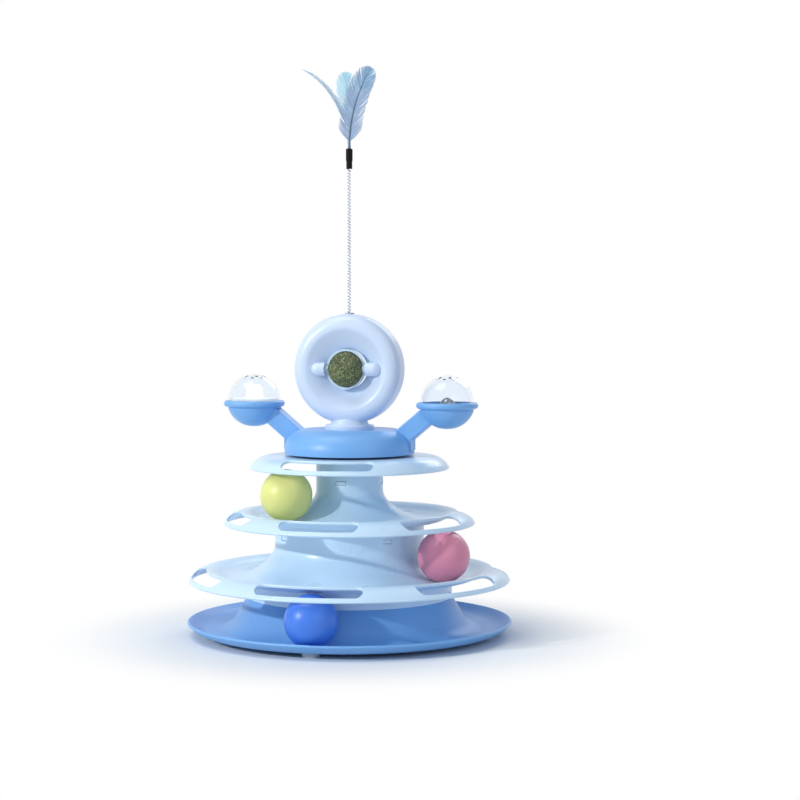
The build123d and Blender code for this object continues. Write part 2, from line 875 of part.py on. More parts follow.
def head_ring(grow, start, half, mode=Mode.ADD):
    """Half of the ring about the head's axis, with a rounded outside and a funnel to its hole.

    The section is grown by a distance and starts at a depth; half is -1 front or 1 rear."""
    hole = head_ring_radius - head_radial_half
    with BuildSketch(head_plane) as section:
        with BuildLine():
            FilletPolyline(
                (hole, start),
                (hole, half * head_hole_edge),
                (head_crest_radius, half * head_axial_half),
                (head_outer, half * head_axial_half),
                (head_outer, start),
                radius=[head_hole_round, head_crest_round, head_outer_round],
            )
            Line((head_outer, start), (hole, start))
        make_face()
        if grow != 0:
            offset(amount=grow)
    revolve(section.sketch, axis=head_axis, mode=mode)


def head_shell(half):
    """Hollow half of the ring head, open at the middle plane."""
    head_ring(0, 0, half)
    head_ring(-head_wall, -2 * half * head_wall, half, mode=Mode.SUBTRACT)


def head_boss_places():
    return PolarLocations(head_boss_ring_radius, head_boss_count, start_angle=head_boss_first_angle)


def head_bores():
    """Clear the foot stem below and the wand socket above out of a head shell."""
    ring(0, head_stem_radius + fit_gap, head_bottom - overrun, head_z - head_ring_radius, mode=Mode.SUBTRACT)
    ring(0, socket_radius + fit_gap, head_z + head_ring_radius, head_top + overrun, mode=Mode.SUBTRACT)


def head_cylinder(radius, start, end, mode=Mode.ADD):
    """Round posts along the head's axis at its screw places, between two depths."""
    with BuildSketch(Plane((0, start, head_z), x_dir=(1, 0, 0), z_dir=(0, 1, 0))) as posts:
        with head_boss_places():
            Circle(radius)
    extrude(posts.sketch, amount=end - start, mode=mode)


head_boss_end = head_axial_half - head_boss_inset
head_screw_tip = head_screw_seat - head_screw_length

with BuildPart() as head_front:
    head_shell(-1)
    head_cylinder(head_boss_radius, 0, -head_boss_end)
    for side in (1, -1):
        pivot_face = Plane((side * pivot_start, -catnip_forward, head_z), x_dir=(0, 1, 0), z_dir=(side, 0, 0))
        with BuildSketch(pivot_face):
            Circle(pivot_boss_radius)
        extrude(amount=pivot_boss_length)
        with Locations((side * (pivot_start + pivot_boss_length), -catnip_forward, head_z)):
            Sphere(pivot_boss_radius)
        with BuildSketch(pivot_face):
            Circle(pivot_radius + run_gap)
        extrude(amount=pivot_length + rest_gap, mode=Mode.SUBTRACT)
    head_cylinder(head_screw_radius + press_gap, 0, head_screw_tip - rest_gap, mode=Mode.SUBTRACT)
    head_bores()
save(head_front.part, "head_front")

with BuildPart() as head_rear:
    head_shell(1)
    head_cylinder(head_boss_radius, 0, head_boss_end)
    head_cylinder(head_screw_radius + fit_gap, 0, head_axial_half + overrun, mode=Mode.SUBTRACT)
    head_screw_sink = head_axial_half + overrun
    head_cylinder(head_screw_head_radius + fit_gap, head_screw_seat, head_screw_sink, mode=Mode.SUBTRACT)
    head_bores()
save(head_rear.part, "head_rear")

with BuildPart() as head_screws:
    head_cylinder(head_screw_radius, head_screw_tip, head_screw_seat)
    head_cylinder(head_screw_head_radius, head_screw_seat, head_screw_seat + head_screw_head_height)
save(head_screws.part, "head_screws")

with BuildPart() as head_foot:
    foot_top = dome_top + head_foot_thick
    with BuildSketch(Plane.XY.offset(dome_top)):
        Circle(head_foot_radius)
    extrude(amount=head_foot_thick)
    fillet(head_foot.edges().group_by(Axis.Z)[-1], head_foot_round)
    with BuildSketch(Plane.XY.offset(foot_top - head_foot_round)):
        Circle(head_neck_radius)
    with BuildSketch(Plane.XY.offset(foot_top + head_neck_height)):
        Circle(head_neck_radius - head_neck_taper)
    loft()
    for half in (-1, 1):
        head_ring(press_gap, 0, half, mode=Mode.SUBTRACT)
    ring(0, head_stem_radius, dome_top, dome_top + head_stem_height)
    ring(0, head_plug_radius, dome_roof - head_lug_height, dome_top)
    ring(0, head_lug_radius, dome_roof - rest_gap - head_lug_height, dome_roof - rest_gap)
save(head_foot.part, "head_foot")

# Catnip ball in its half shell

catnip_plane = Plane((0, -catnip_forward, head_z))

with BuildPart(catnip_plane) as catnip_ball:
    Sphere(catnip_radius)
save(catnip_ball.part, "catnip_ball")

with BuildPart(catnip_plane) as catnip_cup:
    Sphere(shell_outer)
    with Locations((0, -shell_outer, 0)):
        Box(2 * shell_outer, 2 * shell_outer, 2 * shell_outer, mode=Mode.SUBTRACT)
    for side in (1, -1):
        with BuildSketch(Plane((0, -catnip_forward, head_z), x_dir=(0, 1, 0), z_dir=(side, 0, 0))):
            Circle(pivot_radius)
        extrude(amount=pivot_start + pivot_length)
    Sphere(shell_inner, mode=Mode.SUBTRACT)
save(catnip_cup.part, "catnip_cup")

# Wand socket and spring

with BuildPart() as wand_socket:
    ring(0, socket_radius, socket_bottom, head_top)
    ring(0, socket_flange_radius, head_top, socket_top)
    fillet(wand_socket.edges().group_by(Axis.Z)[-1], socket_flange_height / 2)
    ring(0, socket_bore, socket_bottom + socket_floor, socket_top, mode=Mode.SUBTRACT)
save(wand_socket.part, "wand_socket")


def helix_point(turn, first_level):
    angle = 2 * pi * turn
    level = first_level + spring_pitch * turn
    return Vector(spring_radius * cos(angle), spring_radius * sin(angle), level)


def helix_heading(turn):
    angle = 2 * pi * turn
    around = 2 * pi * spring_radius
    return Vector(-around * sin(angle), around * cos(angle), spring_pitch).normalized()


def biarc(start, start_heading, end, end_heading):
    """Two tangent arcs between two points with given headings."""
    chord = end - start
    headings = start_heading + end_heading
    bend = 2 * (1 - start_heading.dot(end_heading))
    along = chord.dot(headings)
    reach = (sqrt(along * along + bend * chord.dot(chord)) - along) / bend
    joint = (start + end + (start_heading - end_heading) * reach) * 0.5
    joint_heading = ((end - end_heading * reach) - (start + start_heading * reach)).normalized()
    TangentArc(start, joint, tangent=start_heading)
    TangentArc(joint, end, tangent=joint_heading)


def spring_path():
    """Wire path: a straight end, a bend into the coil, half turns of the coil, and the same at the top."""
    up = Vector(0, 0, 1)
    first_level = spring_start + spring_wire + spring_end_bend
    first = helix_point(0, first_level)
    last = helix_point(spring_turns, first_level)
    heading = helix_heading(0)
    flat = Vector(heading.X, heading.Y, 0)
    bend_start = first - flat * spring_end_bend - up * (spring_end_bend * (1 - heading.Z))
    bend_end = last + flat * spring_end_bend + up * (spring_end_bend * (1 - heading.Z))
    with BuildLine() as path:
        Line(bend_start - up * spring_wire, bend_start)
        biarc(bend_start, up, first, heading)
        for half_turn in range(2 * spring_turns):
            start_turn = half_turn / 2
            end_turn = (half_turn + 1) / 2
            biarc(
                helix_point(start_turn, first_level),
                helix_heading(start_turn),
                helix_point(end_turn, first_level),
                helix_heading(end_turn),
            )
        biarc(last, heading, bend_end, up)
        Line(bend_end, bend_end + up * spring_wire)
    return path.line


spring_wire_path = spring_path()

with BuildPart() as wand_spring:
    with BuildSketch(Plane(spring_wire_path @ 0, z_dir=spring_wire_path % 0)):
        Circle(spring_wire / 2)
    sweep(path=spring_wire_path)
save(wand_spring.part, "wand_spring")

steps_per_turn = 24
coil_points = [helix_point(step / steps_per_turn, 0) for step in range(3 * steps_per_turn)]
turn_gaps = [
    (coil_points[a] - coil_points[b]).length
    for a in range(steps_per_turn)
    for b in range(a + steps_per_turn // 2, len(coil_points))
]
spring_gap = round(min(turn_gaps) - spring_wire, 3)
print("spring: least gap to itself", spring_gap, "mm over", spring_turns, "turns")

with BuildPart() as wand_sleeve:
    ring(0, sleeve_radius, sleeve_bottom, sleeve_step)
    with BuildSketch(Plane.XY.offset(sleeve_step - sleeve_cap_cone)):
        Circle(sleeve_cap_radius)
    extrude(amount=sleeve_cap_height + sleeve_cap_cone)
    chamfer(wand_sleeve.edges().group_by(Axis.Z)[-1], sleeve_cap_cone / 2)
    ring(0, socket_bore, sleeve_bottom, sleeve_step, mode=Mode.SUBTRACT)
    ring(0, quill_bore, sleeve_step, sleeve_top, mode=Mode.SUBTRACT)
save(wand_sleeve.part, "wand_sleeve")


# Feathers

def shaft_point(reach, height, share):
    """Point on the arc of a feather's shaft, which leaves the sleeve upright."""
    turn = 2 * atan2(abs(reach), height)
    radius = height / sin(turn)
    side = 1 if reach > 0 else -1
    return Vector(side * radius * (1 - cos(share * turn)), radius * sin(share * turn))


def feather(name, azimuth, facing, reach, height, width, foot_share, edge_on):
    """A quill in the sleeve, a curved shaft and a thin vane with a pointed oval outline."""
    x, y = front_vector(feather_azimuth + azimuth, quill_offset)
    angle = radians(feather_azimuth + facing)
    across = (cos(angle), sin(angle), 0)
    toward = (sin(angle), -cos(angle), 0)
    back_across = (-cos(angle), -sin(angle), 0)
    plane = Plane((x, y, sleeve_top), x_dir=across, z_dir=toward)
    tip = Vector(reach, height)
    foot = shaft_point(reach, height, foot_share)
    wide = shaft_point(reach, height, vane_wide_share)
    with BuildPart() as body:
        if edge_on:
            between = shaft_point(reach, height, (1 + foot_share) / 2)
            with BuildSketch(plane):
                with BuildLine():
                    ThreePointArc(foot, between, tip)
                    offset(amount=vane_thick / 2)
                make_face()
            extrude(amount=width / 2, both=True)
            with BuildSketch(Plane((x, y, sleeve_top), x_dir=toward, z_dir=back_across)):
                with BuildLine():
                    ThreePointArc((0, foot.Y), (width / 2, wide.Y), (0, height))
                    ThreePointArc((0, height), (-width / 2, wide.Y), (0, foot.Y))
                make_face()
            extrude(amount=2 * abs(reach), both=True, mode=Mode.INTERSECT)
        else:
            along = (tip - foot).normalized()
            side = Vector(-along.Y, along.X) * (width / 2)
            with BuildSketch(plane):
                with BuildLine():
                    ThreePointArc(foot, wide + side, tip)
                    ThreePointArc(tip, wide - side, foot)
                make_face()
            extrude(amount=vane_thick / 2, both=True)
        half_way = shaft_point(reach, height, 1 / 2)
        with BuildLine(plane) as shaft:
            Line((0, rest_gap - sleeve_cap_height), (0, 0))
            ThreePointArc((0, 0), (half_way.X, half_way.Y), (reach, height))
        with BuildSketch(Plane(shaft.line @ 0, z_dir=shaft.line % 0)):
            Circle(quill_radius)
        sweep(path=shaft.line)
    save(body.part, name)


feather("front_feather", 0, 0, front_reach, front_height, front_width, front_foot_share, False)
feather("rear_feather", 120, 0, rear_reach, rear_height, rear_width, rear_foot_share, False)
feather("left_feather", 240, left_turn, left_reach, left_height, left_width, left_foot_share, True)
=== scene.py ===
import json
import math
import random

import bmesh
import bpy
from mathutils import Matrix, Vector, noise


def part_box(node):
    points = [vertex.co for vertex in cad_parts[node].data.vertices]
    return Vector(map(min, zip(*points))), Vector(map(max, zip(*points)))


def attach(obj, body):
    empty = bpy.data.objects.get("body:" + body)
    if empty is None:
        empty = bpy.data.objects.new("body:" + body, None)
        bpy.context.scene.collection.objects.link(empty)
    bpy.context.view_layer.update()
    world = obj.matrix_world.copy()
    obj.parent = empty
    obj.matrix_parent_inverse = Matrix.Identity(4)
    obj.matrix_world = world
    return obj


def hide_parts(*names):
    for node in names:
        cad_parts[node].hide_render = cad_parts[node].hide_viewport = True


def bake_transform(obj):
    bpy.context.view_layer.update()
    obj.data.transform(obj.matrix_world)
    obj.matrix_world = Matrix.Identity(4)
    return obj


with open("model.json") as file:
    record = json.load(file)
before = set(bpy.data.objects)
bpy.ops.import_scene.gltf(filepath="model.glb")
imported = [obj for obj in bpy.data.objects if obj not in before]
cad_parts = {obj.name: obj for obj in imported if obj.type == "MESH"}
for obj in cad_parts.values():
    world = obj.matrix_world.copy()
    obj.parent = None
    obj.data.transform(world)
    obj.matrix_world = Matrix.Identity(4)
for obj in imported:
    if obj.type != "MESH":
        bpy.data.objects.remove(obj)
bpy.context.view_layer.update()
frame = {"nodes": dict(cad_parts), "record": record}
nodes = frame["nodes"]
scene = bpy.context.scene
mm = 0.001
noise_low = 0.3
noise_high = 0.7


# colour and node helpers

def srgb(red, green, blue):
    """Linear colour of an 8-bit screen colour."""
    def linear(value):
        share = value / 255
        return share / 12.92 if share <= 0.04045 else ((share + 0.055) / 1.055) ** 2.4
    return (linear(red), linear(green), linear(blue), 1)


def scaled(colour, factor):
    return tuple(min(1, channel * factor) for channel in colour[:3]) + (1,)


class Nodes:
    """A material's node tree with a Principled shader and short ways to add nodes."""

    def __init__(self, name):
        self.material = bpy.data.materials.new(name)
        self.material.use_nodes = True
        self.tree = self.material.node_tree
        self.shader = self.tree.nodes["Principled BSDF"]
        self.place = self.add("ShaderNodeTexCoord").outputs["Object"]

    def add(self, kind, **values):
        node = self.tree.nodes.new(kind)
        for key, value in values.items():
            setattr(node, key, value)
        return node

    def join(self, start, end):
        self.tree.links.new(start, end)

    def set(self, **values):
        for key, value in values.items():
            self.shader.inputs[key.replace("_", " ")].default_value = value

    def noise(self, scale, detail=3.0, roughness=0.5, stretch=None):
        node = self.add("ShaderNodeTexNoise")
        node.inputs["Scale"].default_value = scale
        node.inputs["Detail"].default_value = detail
        node.inputs["Roughness"].default_value = roughness
        place = self.place
        if stretch:
            mapping = self.add("ShaderNodeMapping")
            mapping.inputs["Scale"].default_value = stretch
            self.join(place, mapping.inputs["Vector"])
            place = mapping.outputs["Vector"]
        self.join(place, node.inputs["Vector"])
        return node.outputs["Fac"]

    def ramp(self, value, stops):
        node = self.add("ShaderNodeValToRGB")
        elements = node.color_ramp.elements
        while len(elements) < len(stops):
            elements.new(0.5)
        for element, (position, colour) in zip(elements, stops):
            element.position = position
            element.color = colour
        self.join(value, node.inputs["Fac"])
        return node.outputs["Color"]

    def spread(self, value, low, high, socket):
        """Maps a 0 to 1 value to a range and feeds it to one of the shader's sockets."""
        node = self.add("ShaderNodeMapRange")
        node.inputs["From Min"].default_value = noise_low
        node.inputs["From Max"].default_value = noise_high
        node.inputs["To Min"].default_value = low
        node.inputs["To Max"].default_value = high
        self.join(value, node.inputs["Value"])
        self.join(node.outputs["Result"], self.shader.inputs[socket])

    def bump(self, value, strength, distance):
        node = self.add("ShaderNodeBump")
        node.inputs["Strength"].default_value = strength
        node.inputs["Distance"].default_value = distance
        self.join(value, node.inputs["Height"])
        self.join(node.outputs["Normal"], self.shader.inputs["Normal"])


def moulded(name, colour, rough, grain=0.10, scatter=0.0, coat=0.0):
    """Injection-moulded plastic: faint flow clouding, uneven gloss and a fine skin texture."""
    made = Nodes(name)
    cloud = made.noise(scale=14, detail=3, roughness=0.5)
    made.join(made.ramp(cloud, [(0.30, scaled(colour, 0.975)), (0.70, scaled(colour, 1.02))]),
              made.shader.inputs["Base Color"])
    made.spread(made.noise(scale=60, detail=2), rough - 0.03, rough + 0.03, "Roughness")
    made.bump(made.noise(scale=420, detail=2), grain, 0.00003)
    made.set(IOR=1.49)
    if scatter:
        made.set(Subsurface_Weight=scatter, Subsurface_Scale=0.004, Subsurface_Radius=(0.7, 0.9, 1.0))
    if coat:
        made.set(Coat_Weight=coat, Coat_Roughness=0.08)
    return made.material


def rubber(name, colour, rough):
    made = Nodes(name)
    made.join(made.ramp(made.noise(scale=300, detail=3),
                        [(0.35, scaled(colour, 0.85)), (0.65, scaled(colour, 1.1))]),
              made.shader.inputs["Base Color"])
    made.spread(made.noise(scale=700, detail=2), rough - 0.08, rough + 0.08, "Roughness")
    made.bump(made.noise(scale=2600, detail=3), 0.35, 0.00015)
    made.set(Specular_IOR_Level=0.12)
    return made.material


def metal(name, colour, rough, stretch=None):
    made = Nodes(name)
    made.join(made.ramp(made.noise(scale=240, detail=3, stretch=stretch),
                        [(0.3, scaled(colour, 0.86)), (0.7, scaled(colour, 1.06))]),
              made.shader.inputs["Base Color"])
    made.spread(made.noise(scale=420, detail=2, stretch=stretch), rough * 0.7, rough * 1.4, "Roughness")
    made.bump(made.noise(scale=1500, detail=2, stretch=stretch), 0.05, 0.00008)
    made.set(Metallic=1.0)
    return made.material


def clear(name, tint, rough):
    """Thin clear moulding with faint unevenness in its polish."""
    made = Nodes(name)
    made.join(made.ramp(made.noise(scale=40, detail=2), [(0.3, scaled(tint, 0.985)), (0.7, tint)]),
              made.shader.inputs["Base Color"])
    made.spread(made.noise(scale=120, detail=2), rough, rough + 0.03, "Roughness")
    made.bump(made.noise(scale=60, detail=2), 0.03, 0.0004)
    made.set(IOR=1.30, Transmission_Weight=1.0)
    return made.material


def lit_cap(name, colour, glow):
    """Milky plastic of the light unit with a soft glow: light from the lamp inside on the diffuser, painted
    glow on the housing.
    """
    made = Nodes(name)
    cloud = made.noise(scale=90, detail=3)
    tone = made.ramp(cloud, [(0.3, scaled(colour, 0.96)), (0.7, colour)])
    made.join(tone, made.shader.inputs["Base Color"])
    made.join(tone, made.shader.inputs["Emission Color"])
    made.spread(made.noise(scale=200, detail=2), 0.30, 0.40, "Roughness")
    made.set(Emission_Strength=glow, Subsurface_Weight=0.4, Subsurface_Scale=0.004, Subsurface_Radius=(1, 1, 1))
    return made.material


def herb(name):
    """Pressed dried leaf: every flake has a tone of its own, from straw to dark olive."""
    made = Nodes(name)
    island = made.add("ShaderNodeNewGeometry").outputs["Random Per Island"]
    tone = made.ramp(island, [(0.0, srgb(64, 79, 56)), (0.35, srgb(108, 122, 84)),
                              (0.7, srgb(158, 163, 108)), (1.0, srgb(222, 214, 156))])
    speck = made.ramp(made.noise(scale=900, detail=4), [(0.35, (0.62, 0.66, 0.58, 1)), (0.65, (1, 1, 1, 1))])
    mix = made.add("ShaderNodeMix", data_type="RGBA", blend_type="MULTIPLY")
    mix.inputs["Factor"].default_value = 1
    made.join(tone, mix.inputs["A"])
    made.join(speck, mix.inputs["B"])
    made.join(mix.outputs["Result"], made.shader.inputs["Base Color"])
    made.spread(made.noise(scale=500, detail=2), 0.75, 0.95, "Roughness")
    made.bump(made.noise(scale=1600, detail=4), 0.5, 0.0003)
    made.set(Sheen_Weight=0.15, Sheen_Roughness=0.6)
    return made.material


def plume(name, pale, deep, tip):
    """Feather barbs: each strand differs a little, and the vane changes tone toward its tip."""
    made = Nodes(name)
    island = made.add("ShaderNodeNewGeometry").outputs["Random Per Island"]
    strand = made.ramp(island, [(0.0, deep), (0.5, pale), (1.0, scaled(pale, 1.06))])
    patch = made.ramp(made.noise(scale=95, detail=3), [(0.36, (0.72, 0.76, 0.82, 1)), (0.64, (1, 1, 1, 1))])
    mix = made.add("ShaderNodeMix", data_type="RGBA", blend_type="MULTIPLY")
    mix.inputs["Factor"].default_value = 0.55
    made.join(strand, mix.inputs["A"])
    made.join(patch, mix.inputs["B"])
    height = made.add("ShaderNodeSeparateXYZ")
    made.join(made.place, height.inputs["Vector"])
    rise = made.add("ShaderNodeMapRange", interpolation_type="SMOOTHSTEP")
    rise.inputs["From Min"].default_value = 0.408
    rise.inputs["From Max"].default_value = 0.432
    made.join(height.outputs["Z"], rise.inputs["Value"])
    toned = made.add("ShaderNodeMix", data_type="RGBA", blend_type="MULTIPLY")
    made.join(rise.outputs["Result"], toned.inputs["Factor"])
    made.join(mix.outputs["Result"], toned.inputs["A"])
    toned.inputs["B"].default_value = tip
    made.join(toned.outputs["Result"], made.shader.inputs["Base Color"])
    made.spread(made.noise(scale=700, detail=2), 0.6, 0.8, "Roughness")
    made.bump(made.noise(scale=3000, detail=2), 0.2, 0.0001)
    made.set(Sheen_Weight=0.35, Sheen_Roughness=0.4, Subsurface_Weight=0.12, Subsurface_Scale=0.002)
    return made.material


def board(name):
    """Green circuit laminate with a faint glass weave under its lacquer."""
    made = Nodes(name)
    weave = made.add("ShaderNodeTexWave")
    weave.inputs["Scale"].default_value = 260
    made.join(made.place, weave.inputs["Vector"])
    made.join(made.ramp(weave.outputs["Fac"], [(0.2, srgb(14, 84, 46)), (0.8, srgb(26, 108, 60))]),
              made.shader.inputs["Base Color"])
    made.spread(made.noise(scale=300, detail=2), 0.25, 0.4, "Roughness")
    return made.material


ice = srgb(205, 230, 249)
sky = srgb(120, 175, 231)
royal = srgb(68, 127, 229)
finishes = {
    "pale_plastic": moulded("pale_plastic", ice, 0.30, grain=0.03, coat=0.15),
    "blue_plastic": moulded("blue_plastic", sky, 0.40, grain=0.04),
    "white_plastic": moulded("white_plastic", srgb(238, 242, 247), 0.30, scatter=0.10),
    "grey_plastic": moulded("grey_plastic", srgb(176, 188, 202), 0.42, grain=0.2),
    "pink_plastic": moulded("pink_plastic", srgb(221, 138, 163), 0.36, scatter=0.12),
    "yellow_plastic": moulded("yellow_plastic", srgb(229, 229, 140), 0.36, scatter=0.12),
    "clear_plastic": clear("clear_plastic", (0.91, 0.955, 1.0, 1), 0.01),
    "pad_rubber": rubber("pad_rubber", srgb(196, 206, 216), 0.7),
    "black_rubber": rubber("black_rubber", srgb(9, 10, 12), 0.5),
    "steel": metal("steel", srgb(206, 210, 216), 0.30),
    # bell_steel is darker than the bell's real silver: painted dark reflection and shade on the chrome.
    "bell_steel": metal("bell_steel", srgb(132, 136, 144), 0.12),
    "board_green": board("board_green"),
    "catnip": herb("catnip"),
    "feather_grey": plume("feather_grey", srgb(182, 201, 226), srgb(156, 177, 206), (0.70, 0.92, 0.95, 1)),
    "feather_cyan": plume("feather_cyan", srgb(224, 244, 252), srgb(204, 234, 248), (0.74, 0.96, 1.0, 1)),
    "feather_pale": plume("feather_pale", srgb(222, 238, 248), srgb(196, 220, 238), (0.86, 0.97, 1.0, 1)),
}
ball_blue = moulded("ball_blue", royal, 0.36, scatter=0.10)
rachis_dark = moulded("rachis_dark", srgb(92, 108, 130), 0.45)
rachis_pale = moulded("rachis_pale", srgb(190, 208, 224), 0.45)
cap_light = lit_cap("cap_light", srgb(250, 252, 255), 0.9)
# The housing is no lamp: its emission is a painted glow that brightens the plate and pod.
housing_painted_glow = lit_cap("housing_painted_glow", srgb(236, 241, 247), 0.2)
head_pale = moulded("head_pale", srgb(208, 222, 243), 0.34, grain=0.03, coat=0.1)
spring_steel = metal("spring_steel", srgb(196, 201, 212), 0.24, stretch=(1, 1, 0.2))

for row in frame["record"]["subparts"]:
    node = nodes[row["node"]]
    node.data.materials.clear()
    node.data.materials.append(finishes[row["material_slot"]])
for name, material in (("blue_ball", ball_blue), ("light_diffuser", cap_light), ("light_housing", housing_painted_glow),
                       ("head_front", head_pale), ("head_rear", head_pale), ("head_foot", head_pale)):
    nodes[name].data.materials.clear()
    nodes[name].data.materials.append(material)


# mesh helpers

def piece(name, mesh_builder, materials, smooth=True):
    """A new object at the origin from a bmesh, with its materials."""
    mesh = bpy.data.meshes.new(name)
    bmesh.ops.recalc_face_normals(mesh_builder, faces=mesh_builder.faces)
    mesh_builder.to_mesh(mesh)
    mesh_builder.free()
    for material in materials:
        mesh.materials.append(material)
    mesh.polygons.foreach_set("use_smooth", [smooth] * len(mesh.polygons))
    made = bpy.data.objects.new(name, mesh)
    scene.collection.objects.link(made)
    return made


def strand(builder, points, halves, across, thick, slot_index):
    """A closed thin strip along points: flat across, with a rhombic section that follows halves."""
    rings = []
    for index, point in enumerate(points):
        ahead = points[min(index + 1, len(points) - 1)]
        behind = points[max(index - 1, 0)]
        along = (ahead - behind).normalized()
        side = (across - along * across.dot(along)).normalized()
        up = along.cross(side)
        half = halves[index]
        rise = min(thick, half) if half else 0
        corners = [side * half, up * rise, side * -half, up * -rise]
        rings.append([builder.verts.new(point + corner) for corner in corners])
    for low, high in zip(rings, rings[1:]):
        for index in range(4):
            after = (index + 1) % 4
            face = builder.faces.new((low[index], low[after], high[after], high[index]))
            face.material_index = slot_index
    for ring in (rings[0], rings[-1]):
        builder.faces.new(ring).material_index = slot_index


def tube(builder, points, radii, sides, slot_index=0):
    """A closed round tube along points with its own radius at each of them."""
    rings = []
    side = None
    for index, point in enumerate(points):
        ahead = points[min(index + 1, len(points) - 1)]
        behind = points[max(index - 1, 0)]
        along = (ahead - behind).normalized()
        if side is None:
            side = along.orthogonal().normalized()
        side = (side - along * side.dot(along)).normalized()
        up = along.cross(side)
        ring = []
        for step in range(sides):
            turn = 2 * math.pi * step / sides
            ring.append(builder.verts.new(point + (side * math.cos(turn) + up * math.sin(turn)) * radii[index]))
        rings.append(ring)
    for low, high in zip(rings, rings[1:]):
        for index in range(sides):
            after = (index + 1) % sides
            builder.faces.new((low[index], low[after], high[after], high[index])).material_index = slot_index
    for ring in (rings[0], rings[-1]):
        builder.faces.new(ring).material_index = slot_index


# coil spring of the wand

spring_low, spring_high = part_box("wand_spring")
spring_mean = 1.1 * mm
spring_wire = 0.9 * mm
spring_turns = 49
spring_steps = 20
spring_sides = 8
spring_end = 1.7 * mm
spring_end_share = 0.35
spring_foot = spring_low.z + spring_end
spring_head = spring_high.z - spring_end
coil = bmesh.new()
coil_points = [Vector((0, 0, spring_low.z + spring_wire / 4))]
for step in range(spring_turns * spring_steps + 1):
    share = step / (spring_turns * spring_steps)
    turn = 2 * math.pi * step / spring_steps
    ease = min(1, step / spring_steps, (spring_turns * spring_steps - step) / spring_steps)
    radius = spring_mean * (spring_end_share + (1 - spring_end_share) * ease)
    coil_points.append(Vector((radius * math.cos(turn), radius * math.sin(turn),
                               spring_foot + (spring_head - spring_foot) * share)))
coil_points.append(Vector((0, 0, spring_high.z - spring_wire / 4)))
tube(coil, coil_points, [spring_wire / 2] * len(coil_points), spring_sides)
spring = piece("coil_spring", coil, [spring_steel])
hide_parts("wand_spring")
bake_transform(spring)


# feathers of the wand

feather_azimuth = 15.0
quill_offset = 0.85 * mm
quill_depth = 6.5 * mm
quill_radius = 0.52 * mm
shaft_steps = 40
shaft_sides = 8
shaft_end = 0.985
shaft_taper = 0.86
shaft_taper_power = 1.3
shaft_nudge = 0.01
shoulder_run = 0.17
shoulder_power = 0.8
vane_fall = 0.64
barb_lean = 40
barb_lean_foot = 14
barb_lean_jitter = 1.5
barb_bend = 11
barb_steps = 7
barb_march = 0.2 * mm
barb_least = 1.2 * mm
barb_most = 30 * mm
barb_cover = 0.66
barb_taper = 0.55
barb_lift = 0.06 * mm
barb_thick = 0.07 * mm
barb_short = 0.94
barb_long = 1.03
split_first = 0.12
split_last = 0.9
split_lean = 3.5
split_window = 0.022
down_steps = 6
down_half = 0.13 * mm
down_thick = 0.05 * mm
down_wave = 0.5 * mm
down_short = 3.5 * mm
down_long = 7.5 * mm
down_spread = 0.42
down_droop = 0.25
down_flatness = 0.6
down_taper = 0.7
sleeve_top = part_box("wand_sleeve")[1].z


def shaft_point(reach, height, share):
    """Place on a feather's shaft, which leaves the sleeve upright: sideways, then up."""
    turn = 2 * math.atan2(abs(reach), height)
    radius = height / math.sin(turn)
    side = 1 if reach > 0 else -1
    return side * radius * (1 - math.cos(share * turn)), radius * math.sin(share * turn)


def vane_half(share, foot_share, width):
    """Half width of the vane at a share of the shaft's length: a paddle with a blunt top."""
    if share <= foot_share or share >= 1:
        return 0
    rise = min(1, (share - foot_share) / shoulder_run)
    fall = max(0, (share - vane_fall) / (1 - vane_fall))
    return width / 2 * math.sin(math.pi / 2 * rise) ** shoulder_power * (1 - fall ** 4) ** 0.5


def barb_length(share, foot_share, width, shaft_length, lean):
    """Length at which a barb that leaves the shaft at this lean meets the vane's outline."""
    length = barb_march
    while length < barb_most:
        end = share + length * math.cos(lean) / shaft_length
        if length * math.sin(lean) > vane_half(end, foot_share, width):
            break
        length += barb_march
    return max(length, barb_least)


